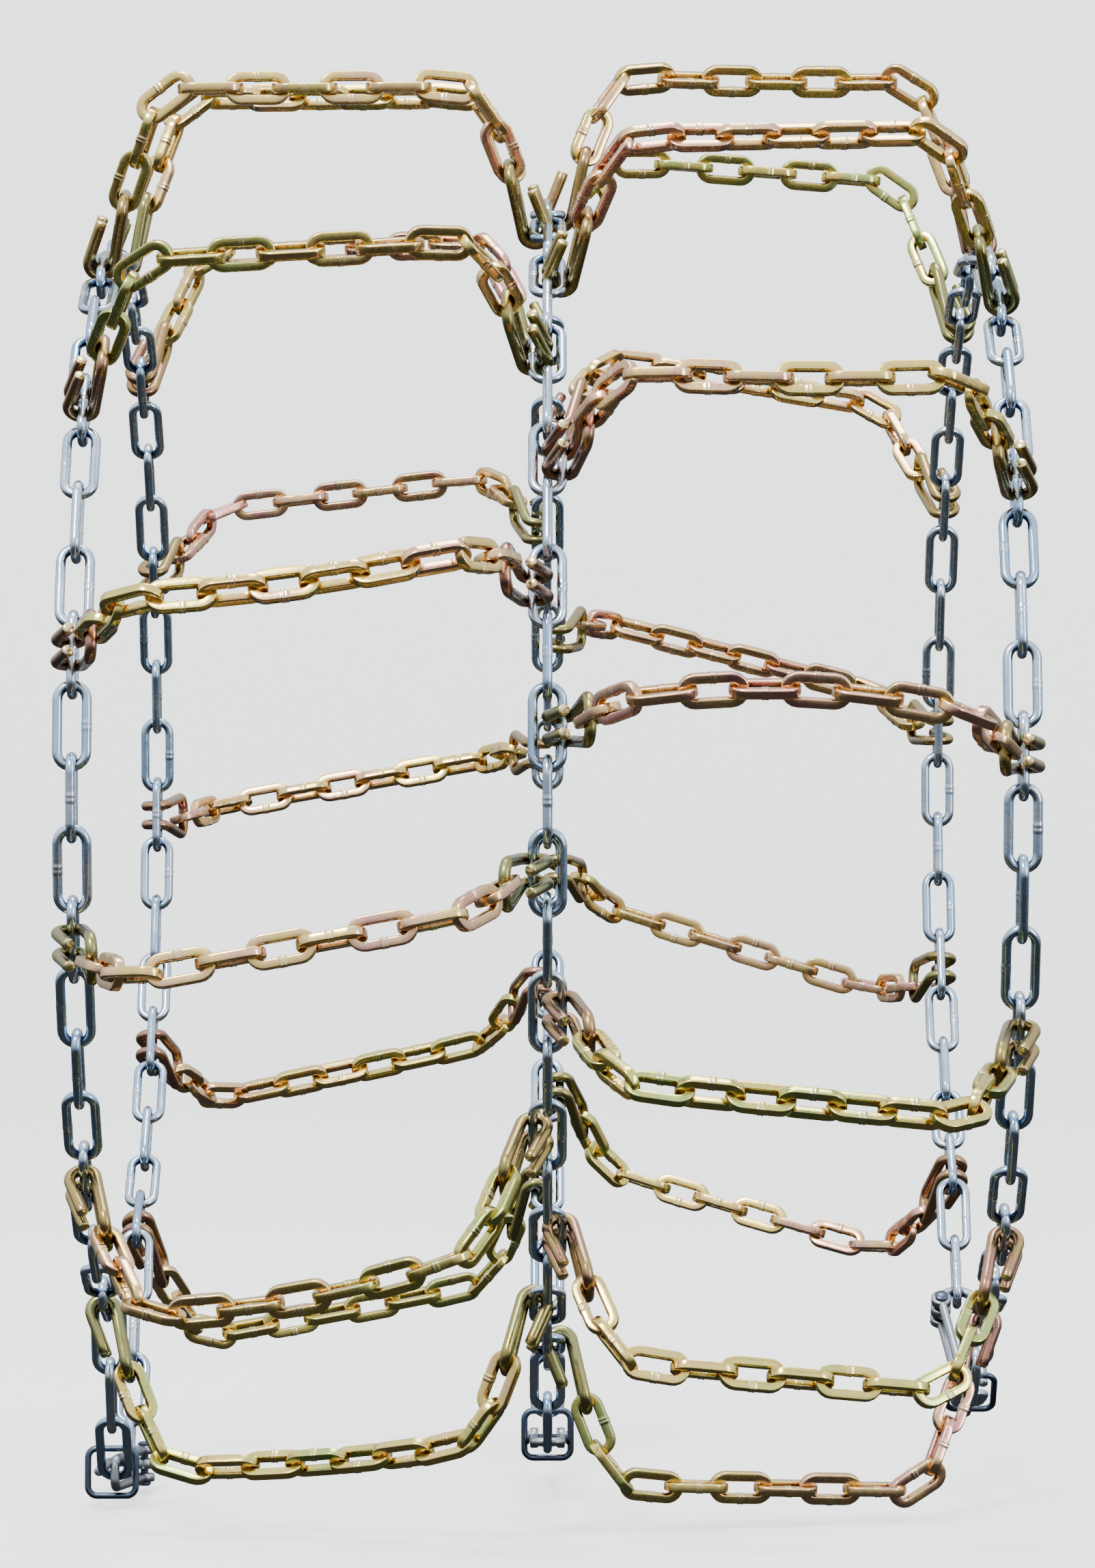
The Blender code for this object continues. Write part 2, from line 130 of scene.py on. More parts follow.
# Lever fasteners
LEVER_ROD = 0.0078
LEVER_CHAMFER = 0.0012
LEVER_ARC = 0.014
LEVER_ARC_AT = 0.007
LEVER_TIP = 0.024
LEVER_SEAT = 0.0058
LEVER_SIDE = 0.0030
SHACKLE_SEAT = 0.0050
SHACKLE_ROD = 0.007
SHACKLE_HALF = 0.0105
SHACKLE_ROUND = 0.0065
EYE_RADIUS = 0.008
EYE_EDGE = 0.0008
EYE_HOLE = 0.0034
EYE_JOIN = EYE_RADIUS * 0.6  # how far from the middle of an eye its rod ends
EYE_HALF = {"shackle": 0.0032, "lever": 0.0039}
PIN_RADIUS = 0.0030
PIN_HEAD = 0.0052
PIN_HALF = 0.0170
PIN_PLAY = 0.0006
PIN_DOME = (0.0016, 0.0012)  # how far the head's edge is broken, inwards and along
KEEPER_ROD = 0.005
KEEPER_AT = 0.0155
KEEPER_HALF = (0.0177, 0.0180)
KEEPER_ROUND = 0.007
KEEPER_RISE = 0.0035

# Camera and studio
CAMERA_AWAY = 4.00
LENS = 121.1
SENSOR = 36
FLOOR_RADIUS = 14.0
FLOOR_SIDES = 96
FLOOR_GLOW = 0.85
WALL_ROUND = 3.0
WALL_HEIGHT = 9.0
SKY = (-0.40, 0.55, 0.06, 1.6)  # the heights where the sky brightens, and its strength at each

X_AXIS = Vector((1, 0, 0))


# ---------------------------------------------------------------- layout round the axle


def placed(origin, along, across):
    """A placing matrix with its X along and its Y as near as possible to across."""
    x = along.normalized()
    y = (across - across.dot(x) * x).normalized()
    return Matrix.Translation(origin) @ Matrix((x, y, x.cross(y))).transposed().to_4x4()


def around(x, radius, angle):
    return Vector((x, -radius * math.cos(angle), radius * math.sin(angle)))


def solved(low, high, miss):
    """Where the rising function miss crosses zero, by halving."""
    for _ in range(60):
        middle = (low + high) / 2
        if miss(middle) < 0:
            low = middle
        else:
            high = middle
    return (low + high) / 2


def hanging(start, end, lengths):
    """Joints of a chain of straight pieces that hangs from start to end, in the plane of start's X."""
    total = sum(lengths)
    middles = [sum(lengths[:i]) + length / 2 for i, length in enumerate(lengths)]
    across, rise = end.y - start.y, end.z - start.z

    def slopes(pull, lift):
        return [math.atan2(lift + middle, pull) for middle in middles]

    def height(pull, lift):
        return sum(l * math.sin(a) for l, a in zip(lengths, slopes(pull, lift)))

    def lift_at(pull):
        return solved(-20 * total, 20 * total, lambda lift: height(pull, lift) - rise)

    def width(pull):
        return sum(l * math.cos(a) for l, a in zip(lengths, slopes(pull, lift_at(pull))))

    pull = solved(1e-4 * total, 10 * total, lambda pull: width(pull) - across)
    joints = [start]
    for length, slope in zip(lengths, slopes(pull, lift_at(pull))):
        joints.append(joints[-1] + Vector((0, length * math.cos(slope), length * math.sin(slope))))
    return joints


class SideChain:
    """Places of the links of one side chain, and of the gap that its lever fastener closes."""

    def __init__(self, name, x, radius, lead, arc_links):
        self.name = name
        self.step = 2 * math.asin(SIDE_PITCH / 2 / radius)
        self.first_angle = math.radians(FIRST_ANGLE[name])
        self.arc_links = arc_links
        arc = [
            around(x, radius, self.first_angle + self.step * (lead + 0.5 - i))
            for i in range(arc_links + 1)
        ]
        self.spare, last = SPARE_LINKS[name]
        lengths = [SIDE_PITCH] * self.spare + [LEVER_SPAN] + [SIDE_PITCH] * last
        bottom = hanging(arc[-1], arc[0], lengths)
        before = arc[:-1] + bottom[: self.spare + 1]
        after = bottom[self.spare + 1 :]
        self.spans = list(zip(before, before[1:])) + list(zip(after, after[1:]))

    def link(self, index):
        a, b = self.spans[index]
        across = X_AXIS if index % 2 else (b - a).cross(X_AXIS)
        return placed((a + b) / 2, b - a, across)

    def groups(self):
        """Runs of link numbers; each run is one node of the CAD model."""
        starts = range(0, self.arc_links - LINKS_PER_GROUP // 2, LINKS_PER_GROUP)
        joints = [*starts, self.arc_links, self.arc_links + self.spare, len(self.spans)]
        return list(zip(joints, joints[1:]))


def tread_profile(side, outer, inner, tread_radius):
    """(x, radius) points of a cross chain from the outer side chain over the tread to the middle."""
    shoulders = [Vector((side * (TYRE_X + s * SHOULDER_HALF), tread_radius)) for s in (1, -1)]
    return filleted([outer, *shoulders, inner], [SHOULDER_ROUND] * 2, parts=SHOULDER_PARTS)


class CrossPath:
    """Middle line of one cross chain, from the outer side chain's bar to the middle chain's bar."""

    def __init__(self, side, outer_angle, inner_angle, slip):
        """slip is the angle by which the middle of the line lies off the straight way across."""
        self.side = side
        self.angles = outer_angle, inner_angle, slip
        self.outer = Vector((side * SIDE_X, SIDE_RADIUS + SIDE_BAR))
        self.inner = Vector((side * SIDE_BAR, MIDDLE_RADIUS))
        radius = solved(*TREAD_RANGE, lambda r: self.measure(r) - CROSS_PATH)
        self.measure(radius)

    def measure(self, tread_radius):
        """Lays the line over a tread of this radius, and returns its length."""
        profile = tread_profile(self.side, self.outer, self.inner, tread_radius)
        dense = []
        for a, b in zip(profile, profile[1:]):
            parts = max(1, round((b - a).length / PATH_STEP))
            dense += [a.lerp(b, i / parts) for i in range(parts)]
        dense.append(profile[-1])
        flat = [0.0]
        for a, b in zip(dense, dense[1:]):
            flat.append(flat[-1] + (b - a).length)
        hook = FIRST_LINK - CROSS_PITCH / 2
        run = flat[-1] - 2 * hook
        outer_angle, inner_angle, slip = self.angles
        self.points, self.normals = [], []
        for i, (at, length) in enumerate(zip(dense, flat)):
            share = min(1, max(0, (length - hook) / run))
            angle = outer_angle + (inner_angle - outer_angle) * share
            angle += slip * math.sin(math.pi * share)
            ahead = dense[min(i + 1, len(dense) - 1)] - dense[max(i - 1, 0)]
            away = Vector((-ahead.y, ahead.x)).normalized() * -self.side
            self.points.append(around(at.x, at.y, angle))
            self.normals.append(around(away.x, away.y, angle))
        self.lengths = [0.0]
        for a, b in zip(self.points, self.points[1:]):
            self.lengths.append(self.lengths[-1] + (b - a).length)
        return self.lengths[-1]

    def at(self, length, values):
        for i in range(len(self.lengths) - 1):
            if length <= self.lengths[i + 1]:
                break
        share = (length - self.lengths[i]) / (self.lengths[i + 1] - self.lengths[i])
        return values[i].lerp(values[i + 1], share)

    def link(self, index, roll):
        """Place of a link: its length along the line, turned about it by its roll."""
        middle = FIRST_LINK + index * CROSS_PITCH
        reach = CROSS_PITCH / 2
        along = self.at(middle + reach, self.points) - self.at(middle - reach, self.points)
        across = self.at(middle, self.normals).cross(along.normalized())
        place = placed(self.at(middle, self.points), along, across)
        return place @ Matrix.Rotation(roll, 4, "X")

    def hook(self, from_inner):
        """Place of an end hook: X from the side chain's bar to the cross chain, Z off the tyre."""
        total = self.lengths[-1]
        start, end = (total, total - FIRST_LINK) if from_inner else (0, FIRST_LINK)
        start, end = self.at(start, self.points), self.at(end, self.points)
        normal = self.normals[-1 if from_inner else 0]
        along = end - start
        return placed(start, along, normal.cross(along))


# ---------------------------------------------------------------- shapes

BAR_POINTS = (0.96, 0.6)  # extra points on a link's long bars, which keep their shading even
WELD_POINTS = (1.5, 1.15)  # and beside its weld
TURNED_SIDES = 32
SHARP_ANGLE = math.radians(50)


def filleted(points, radii, step=math.radians(9), parts=None):
    """The points with each inner corner rounded to its radius, in steps or in a number of parts."""
    made = [points[0]]
    for before, corner, after, radius in zip(points, points[1:], points[2:], radii):
        into, out = (corner - before).normalized(), (after - corner).normalized()
        turn = into.angle(out)
        reach = radius * math.tan(turn / 2)
        centre = corner + (out - into).normalized() * radius / math.cos(turn / 2)
        first = (corner - into * reach - centre).normalized()
        last = (corner + out * reach - centre).normalized()
        count = parts or max(2, round(turn / step))
        made += [centre + first.slerp(last, i / count) * radius for i in range(count + 1)]
    return made + [points[-1]]


def spaced(points, most=0.006):
    """The points with long stretches split."""
    made = []
    for a, b in zip(points, points[1:]):
        parts = max(1, math.ceil((b - a).length / most))
        made += [a.lerp(b, i / parts) for i in range(parts)]
    return made + [points[-1]]


def round_section(sides=16):
    angles = [2 * math.pi * i / sides for i in range(sides)]
    return [(math.cos(angle), math.sin(angle)) for angle in angles]


def square_section(edge, arc=4):
    """A square of half-width 1 whose corners are rounded to the radius edge."""
    made = []
    for quarter in range(4):
        turn = math.pi / 2 * quarter
        corner = (1 - edge) * math.sqrt(2)
        cx, cy = corner * math.cos(turn + math.pi / 4), corner * math.sin(turn + math.pi / 4)
        for i in range(arc):
            angle = turn + math.pi / 2 * i / (arc - 1)
            made.append((cx + edge * math.cos(angle), cy + edge * math.sin(angle)))
    return made


class Shape:
    """Vertices and faces of a piece; each face has a tint and a number for how bare its steel is."""

    def __init__(self):
        self.verts, self.faces, self.tints, self.cuts = [], [], [], []

    def add(self, other, place, tint):
        start = len(self.verts)
        self.verts += [place @ v for v in other.verts]
        self.faces += [[start + i for i in face] for face in other.faces]
        self.tints += [tint] * len(other.faces)
        self.cuts += other.cuts

    def face(self, corners, cut=0.0):
        self.faces.append(corners)
        self.tints.append(0.5)
        self.cuts.append(cut)


def swept(
    path, section, half, closed=False, flat_up=None, swell=lambda i: 1.0, chamfer=0.0, weld=()
):
    """A section of half-width half swept along a path; the ends of an open path are cut flat."""
    shape = Shape()
    count = len(path)
    sides = len(section)
    up = flat_up or Vector((0, 0, 1))
    rings = []
    for i, at in enumerate(path):
        before = path[i - 1] if closed or i else path[0]
        after = path[(i + 1) % count] if closed or i < count - 1 else path[-1]
        along = (after - before).normalized()
        if flat_up is None:
            up = up - up.dot(along) * along
            if up.length < 1e-6:
                up = along.orthogonal()
            up.normalize()
        side = along.cross(up).normalized()
        lift = side.cross(along)
        grow = half * swell(i)
        rings.append([at + side * (u * grow) + lift * (v * grow) for u, v in section])
    if not closed and chamfer:
        for end, inner in ((0, 1), (-1, -2)):
            out = (path[end] - path[inner]).normalized()
            centre = path[end]
            narrow = [centre + (p - centre) * (1 - chamfer / half) for p in rings[end]]
            for k, p in enumerate(rings[end]):
                rings[end][k] = p - out * chamfer
            if end:
                rings.append(narrow)
            else:
                rings.insert(0, narrow)
    shape.verts = [p for ring in rings for p in ring]
    total = len(rings)
    for i in range(total if closed else total - 1):
        j = (i + 1) % total
        if closed:
            rim = WELD_CUT if i in weld else 0.0
        else:
            rim = 0.0 if 0 < i < total - 2 else RIM_CUT
        for k in range(sides):
            m = (k + 1) % sides
            shape.face([i * sides + k, i * sides + m, j * sides + m, j * sides + k], rim)
    if not closed:
        shape.face(list(range(sides))[::-1], 1.0)
        shape.face([(total - 1) * sides + k for k in range(sides)], 1.0)
    return shape


def oval_path(length, width, bar, arc_parts, weld_half):
    """Middle line of a link with round ends, and the number of its first point on the weld."""
    radius = (width - bar) / 2
    straight = (length - width) / 2
    held = [share * straight for share in BAR_POINTS]
    middle = len(WELD_RING) // 2
    ring = [weld_half * (1 - i / middle) for i in range(len(WELD_RING))]
    beside = [share * weld_half for share in WELD_POINTS]
    points = []
    for sign in (1, -1):
        for i in range(arc_parts + 1):
            angle = math.pi * i / arc_parts - math.pi / 2
            x, y = straight + radius * math.cos(angle), radius * math.sin(angle)
            points.append(Vector((sign * x, sign * y, 0)))
        centre = beside + ring + [-x for x in beside[::-1]] if sign == 1 else []
        if sign == 1:
            weld = len(points) + len(held) + len(beside)
        bar_points = [*held, *centre, *(-x for x in held[::-1])]
        points += [Vector((x * sign, sign * radius, 0)) for x in bar_points]
    return points, weld


def weld_swell(weld, height, seed):
    """Growth of the section along a link: a low ring at the weld with a little unevenness."""
    rng = random.Random(seed)
    uneven = [rng.uniform(1 - WELD_UNEVEN, 1 + WELD_UNEVEN) for _ in WELD_RING]

    def swell(i):
        if weld <= i < weld + len(WELD_RING):
            return 1 + height * WELD_RING[i - weld] * uneven[i - weld]
        return 1.0

    return swell


def link_shape(length, width, rod, section, arc_parts, weld, seed):
    """A link bent from rod, with its weld in the middle of one long bar."""
    height, half = weld
    points, first = oval_path(length, width, rod, arc_parts, half)
    return swept(
        points,
        section,
        rod / 2,
        closed=True,
        flat_up=Vector((0, 0, 1)),
        swell=weld_swell(first, height, seed),
        weld=range(first + 1, first + len(WELD_RING) - 2),
    )


def square_link(seed):
    section = square_section(CROSS_EDGE)
    return link_shape(CROSS_LENGTH, CROSS_WIDTH, CROSS_ROD, section, 10, CROSS_WELD, seed)


def round_link(seed):
    return link_shape(SIDE_LENGTH, SIDE_WIDTH, SIDE_WIRE, round_section(14), 12, SIDE_WELD, seed)


def end_hook():
    """Round rod bent to a wide bight, with both ends curled round the side chain and cut off."""

    def half(y):
        return [
            Vector((PRONG_END, y, CURL_RADIUS)),
            Vector((CURL_AT - CURL_RADIUS, y, CURL_RADIUS)),
            Vector((CURL_AT - CURL_RADIUS, y, -CURL_RADIUS)),
            Vector((BIGHT_REACH, math.copysign(BIGHT_HALF, y), 0)),
        ]

    corners = half(-HOOK_SPREAD) + half(HOOK_SPREAD)[::-1]
    curl, bight = CURL_RADIUS * CURL_BEND, BIGHT_ROUND
    path = filleted(corners, [curl, curl, bight, bight, curl, curl])
    return swept(spaced(path), round_section(), HOOK_ROD / 2, chamfer=HOOK_CHAMFER)


def turned(profile, hollow=False):
    """A solid turned about Y from (radius, y) points, between its flat ends or round a bore."""
    shape = Shape()
    for i in range(TURNED_SIDES):
        angle = 2 * math.pi * i / TURNED_SIDES
        shape.verts += [Vector((r * math.cos(angle), y, r * math.sin(angle))) for r, y in profile]
    count = len(profile)
    for i in range(TURNED_SIDES):
        j = (i + 1) % TURNED_SIDES
        for k in range(count if hollow else count - 1):
            m = (k + 1) % count
            shape.face([i * count + k, i * count + m, j * count + m, j * count + k])
    if not hollow:
        shape.face([i * count for i in range(TURNED_SIDES)][::-1])
        shape.face([i * count + count - 1 for i in range(TURNED_SIDES)])
    return shape


def eye(half):
    """A flat ring with a bore along Y and broken edges."""
    profile = [
        (EYE_HOLE, -half),
        (EYE_RADIUS - EYE_EDGE, -half),
        (EYE_RADIUS, -half + EYE_EDGE),
        (EYE_RADIUS, half - EYE_EDGE),
        (EYE_RADIUS - EYE_EDGE, half),
        (EYE_HOLE, half),
    ]
    return turned(profile, hollow=True)


def piece(name, shape, material, node, body):
    """An object from a shape, riding on a body in place of a node."""
    mesh = bpy.data.meshes.new(name)
    mesh.from_pydata([tuple(v) for v in shape.verts], [], shape.faces)
    for key, values in (("tint", shape.tints), ("cut", shape.cuts)):
        mesh.attributes.new(key, "FLOAT", "FACE").data.foreach_set("value", values)
    work = bmesh.new()
    work.from_mesh(mesh)
    bmesh.ops.recalc_face_normals(work, faces=work.faces)
    work.to_mesh(mesh)
    work.free()
    mesh.shade_smooth()
    mesh.set_sharp_from_angle(angle=SHARP_ANGLE)
    mesh.materials.append(material)
    made = bpy.data.objects.new(name, mesh)
    bpy.context.scene.collection.objects.link(made)
    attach(made, body)
    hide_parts(node)
    return made


# ---------------------------------------------------------------- materials


class Nodes:
    """Short calls for building one material's nodes."""

    def __init__(self, name):
        self.material = bpy.data.materials.new(name)
        self.material.use_nodes = True
        self.tree = self.material.node_tree
        self.shader = self.tree.nodes["Principled BSDF"]

    def add(self, kind, inputs=None, **settings):
        node = self.tree.nodes.new(kind)
        for key, value in settings.items():
            setattr(node, key, value)
        for key, value in (inputs or {}).items():
            self.put(node.inputs[key], value)
        return node

    def put(self, socket, value):
        if isinstance(value, bpy.types.NodeSocket):
            self.tree.links.new(value, socket)
        else:
            socket.default_value = value

    def place(self):
        return self.add("ShaderNodeTexCoord").outputs["Object"]

    def noise(self, scale, detail=2.0, rough=0.5, at=None):
        inputs = {"Vector": at or self.place(), "Scale": scale, "Detail": detail, "Roughness": rough}
        return self.add("ShaderNodeTexNoise", inputs).outputs["Fac"]

    def math(self, operation, a, b, clamp=False):
        node = self.add("ShaderNodeMath", {0: a, 1: b}, operation=operation, use_clamp=clamp)
        return node.outputs[0]

    def attribute(self, name):
        return self.add("ShaderNodeAttribute", attribute_name=name).outputs["Fac"]

    def ranged(self, value, low, high, to_low, to_high):
        inputs = {"Value": value, 1: low, 2: high, 3: to_low, 4: to_high}
        return self.add("ShaderNodeMapRange", inputs).outputs["Result"]

    def ramp(self, value, stops):
        node = self.add("ShaderNodeValToRGB", {"Fac": value})
        elements = node.color_ramp.elements
        while len(elements) < len(stops):
            elements.new(0.5)
        for element, (at, colour) in zip(elements, stops):
            element.position = at
            element.color = (*colour, 1)
        return node.outputs["Color"]

    def mix(self, share, a, b, blend="MIX"):
        node = self.add("ShaderNodeMix", data_type="RGBA", blend_type=blend)
        self.put(node.inputs[0], share)
        for socket, value in ((node.inputs[6], a), (node.inputs[7], b)):
            self.put(socket, value if isinstance(value, bpy.types.NodeSocket) else (*value, 1))
        return node.outputs[2]

    def bump(self, height, strength, distance, normal=None):
        inputs = {"Strength": strength, "Distance": distance, "Height": height}
        node = self.add("ShaderNodeBump", inputs)
        if normal is not None:
            self.put(node.inputs["Normal"], normal)
        return node.outputs["Normal"]


WEAR = (0.95, 0.84, 0.44)  # the bright rim of a sheared rod
STAIN = 0.27  # how far stains shift a piece's tint
MOTTLE_SCALE = 420.0
GRAIN_SCALE, GRAIN_DEPTH = 1500.0, 0.00010
DENT_SCALE, DENT_DEPTH = 150.0, 0.00040
# how far the painted crevice shade reaches
PAINTED_SHADE_REACH = 0.010


def plating(name, film, edge, painted_crevice_shade, roughness, patches=38.0, worn=WEAR):
    """Plated steel: a film whose colour drifts over the surface and from piece to piece, darkened
    towards grazing edges by a painted dark reflection and in crevices by painted shade.
    """
    made = Nodes(name)
    drift = made.noise(patches, 3.0)
    fine = made.noise(MOTTLE_SCALE, 4.0, 0.6)
    stain = made.ranged(drift, 0.25, 0.75, -STAIN, STAIN)
    shift = made.math("ADD", made.attribute("tint"), stain, clamp=True)
    colour = made.ramp(shift, film)
    # Painted reflection: the colour is darkened towards grazing angles, standing in for dark
    # surroundings mirrored at the edges.
    painted_rim_reflection_mask = made.add("ShaderNodeLayerWeight", {"Blend": 0.5}).outputs["Facing"]
    colour = made.mix(made.ranged(painted_rim_reflection_mask, 0.40, 0.92, 0.0, 0.85), colour, edge)
    # Painted shade: ambient occlusion darkens the colour in the crevices between touching pieces.
    nearby = {"Distance": PAINTED_SHADE_REACH}
    crevice_shade_mask = made.add("ShaderNodeAmbientOcclusion", nearby, samples=6).outputs["AO"]
    colour = made.mix(made.ranged(crevice_shade_mask, 0.80, 0.30, 0.0, 0.90), colour, painted_crevice_shade)
    mottle = made.ranged(fine, 0.3, 0.7, 0.91, 1.05)
    grey = made.add("ShaderNodeCombineColor", {0: mottle, 1: mottle, 2: mottle}).outputs[0]
    colour = made.mix(1.0, colour, grey, "MULTIPLY")
    colour = made.mix(made.ranged(made.attribute("cut"), 0, 1, 0, 0.85), colour, worn)
    made.put(made.shader.inputs["Base Color"], colour)
    made.shader.inputs["Metallic"].default_value = 1.0
    smears = made.ranged(drift, 0.3, 0.7, -0.05, 0.06)
    smooth = made.math("ADD", made.ranged(fine, 0.25, 0.75, -0.05, 0.08), smears)
    made.put(made.shader.inputs["Roughness"], made.math("ADD", smooth, roughness))
    grain = made.bump(made.noise(GRAIN_SCALE, 3.0, 0.7), 0.12, GRAIN_DEPTH)
    dents = made.bump(made.noise(DENT_SCALE, 1.0), 0.22, DENT_DEPTH, grain)
    made.put(made.shader.inputs["Normal"], dents)
    return made.material


LINK_GOLD = plating(
    "yellow_zinc_links",
    [
        (0.05, (0.88, 0.43, 0.38)),
        (0.28, (0.94, 0.60, 0.34)),
        (0.50, (0.93, 0.67, 0.24)),
        (0.72, (0.84, 0.70, 0.20)),
        (0.96, (0.50, 0.60, 0.20)),
    ],
    # painted dark reflection towards grazing edges
    (0.34, 0.20, 0.07),
    # painted shade in crevices
    (0.64, 0.36, 0.015),
    0.20,
    worn=(0.94, 0.80, 0.52),
)
HOOK_BRONZE = plating(
    "yellow_zinc_hooks",
    [
        (0.10, (0.50, 0.25, 0.19)),
        (0.38, (0.48, 0.32, 0.13)),
        (0.68, (0.40, 0.33, 0.11)),
        (0.94, (0.32, 0.32, 0.13)),
    ],
    # painted dark reflection towards grazing edges
    (0.16, 0.12, 0.04),
    # painted shade in crevices
    (0.22, 0.11, 0.012),
    0.25,
    60.0,
)
ZINC_BLUE = plating(
    "clear_zinc_links",
    [
        (0.10, (0.40, 0.56, 0.76)),
        (0.45, (0.56, 0.70, 0.86)),
        (0.70, (0.68, 0.78, 0.90)),
        (0.95, (0.46, 0.62, 0.82)),
    ],
    # painted dark reflection towards grazing edges
    (0.07, 0.11, 0.19),
    # painted shade in crevices
    (0.04, 0.06, 0.12),
    0.17,
    worn=(0.80, 0.84, 0.88),
)
LEVER_GREY = plating(
    "lever_steel",
    [
        (0.20, (0.30, 0.32, 0.36)),
        (0.50, (0.42, 0.45, 0.49)),
        (0.80, (0.34, 0.38, 0.43)),
    ],
    # painted dark reflection towards grazing edges
    (0.10, 0.11, 0.13),
    # painted shade in crevices
    (0.06, 0.06, 0.07),
    0.33,
    worn=(0.62, 0.64, 0.66),
)
DARK_STEEL = plating(
    "pin_and_keeper_steel",
    [
        (0.20, (0.07, 0.09, 0.14)),
        (0.50, (0.11, 0.14, 0.19)),
        (0.80, (0.08, 0.12, 0.18)),
    ],
    # painted dark reflection towards grazing edges
    (0.03, 0.04, 0.06),
    # painted shade in crevices
    (0.02, 0.02, 0.03),
    0.30,
    worn=(0.30, 0.32, 0.34),
)


# ---------------------------------------------------------------- pieces


def add_side_chain(chain, rng):
    links = [round_link(seed) for seed in range(LINK_SHAPES)]
    for number, (start, end) in enumerate(chain.groups(), 1):
        shape = Shape()
        for i in range(start, end):
            play = rng.uniform(-SIDE_PLAY, SIDE_PLAY)
            half_turn = math.pi * rng.randrange(2)
            place = chain.link(i) @ Matrix.Rotation(play + half_turn, 4, "X")
            shape.add(links[rng.randrange(LINK_SHAPES)], place, rng.random())
        node = f"side_chain_{chain.name}_{number}"
        piece(node + "_links", shape, ZINC_BLUE, node, "side_chains")


def link_roll(index, rng):
    beside_hook = index in (0, 1, CROSS_LINKS - 2, CROSS_LINKS - 1)
    rolls = CROSS_END_ROLLS if beside_hook else CROSS_ROLLS
    play = CROSS_PLAY / 2 if beside_hook else CROSS_PLAY
    return rolls[index % 2] + rng.uniform(-play, play)


def add_cross_chain(node, path, rng, links, hook):
    shape = Shape()
    lean = rng.uniform(-CROSS_PLAY, CROSS_PLAY)
    tints = rng.uniform(0.0, ROW_TINT), rng.uniform(0.0, ROW_TINT)
    for i in range(CROSS_LINKS):
        roll = link_roll(i, rng) + lean + math.pi * rng.randrange(2)
        share = i / (CROSS_LINKS - 1)
        tint = tints[0] + (tints[1] - tints[0]) * share + rng.uniform(-LINK_TINT, LINK_TINT)
        shape.add(links[rng.randrange(len(links))], path.link(i, roll), tint)
    piece(node + "_links", shape, LINK_GOLD, node, node)
    for end, from_inner in (("outer", False), ("inner", True)):
        one = Shape()
        one.add(hook, path.hook(from_inner), rng.random())
        piece(f"{node}_{end}_hook", one, HOOK_BRONZE, node, node)


def shackle_shapes(length):
    """A bent rod with an eye at each end, from the bow to the eyes along X."""
    corners = [
        Vector((length, SHACKLE_HALF, 0)),
        Vector((0, SHACKLE_HALF, 0)),
        Vector((0, -SHACKLE_HALF, 0)),
        Vector((length, -SHACKLE_HALF, 0)),
    ]
    legs = spaced(filleted(corners, [SHACKLE_ROUND, SHACKLE_ROUND]))
    legs[0].x -= EYE_JOIN
    legs[-1].x -= EYE_JOIN
    shapes = [(swept(legs, round_section(), SHACKLE_ROD / 2), Matrix())]
    for sign in (1, -1):
        at = Matrix.Translation((length, sign * SHACKLE_HALF, 0))
        shapes.append((eye(EYE_HALF["shackle"]), at))
    return shapes


def lever_rod(pin):
    """The lever's rod: half a turn from its eye round the side chain's end link, then straight."""
    bend = [
        Vector((LEVER_ARC_AT, 0, LEVER_ARC)) + Vector((math.sin(a), 0, -math.cos(a))) * LEVER_ARC
        for a in [math.pi * i / 20 for i in range(21)]
    ]
    root, tip = Vector((EYE_JOIN, 0, 0.0004)), Vector((LEVER_TIP - pin.x, 0, 2 * LEVER_ARC))
    return swept(spaced([root, *bend, tip]), round_section(), LEVER_ROD / 2, chamfer=LEVER_CHAMFER)


def pin_shape():
    """A straight pin with a domed head at each end."""
    head_at = SHACKLE_HALF + EYE_HALF["shackle"] + PIN_PLAY
    dome = [
        (PIN_HEAD, head_at),
        (PIN_HEAD, PIN_HALF - PIN_DOME[1]),
        (PIN_HEAD - PIN_DOME[0], PIN_HALF),
    ]
    shank = [(PIN_RADIUS, -head_at), (PIN_RADIUS, head_at)]
    return turned([(r, -y) for r, y in dome[::-1]] + shank + dome)


def keeper_shape():
    """A rod ring round the lever and the shackle."""
    wide, tall = KEEPER_HALF
    loop = [
        Vector((KEEPER_AT, y * wide, KEEPER_RISE + z * tall))
        for y, z in ((0, 1), (1, 1), (1, -1), (-1, -1), (-1, 1), (0, 1))
    ]
    ring = spaced(filleted(loop, [KEEPER_ROUND] * 4))[:-1]
    return swept(ring, round_section(14), KEEPER_ROD / 2, closed=True, flat_up=X_AXIS)


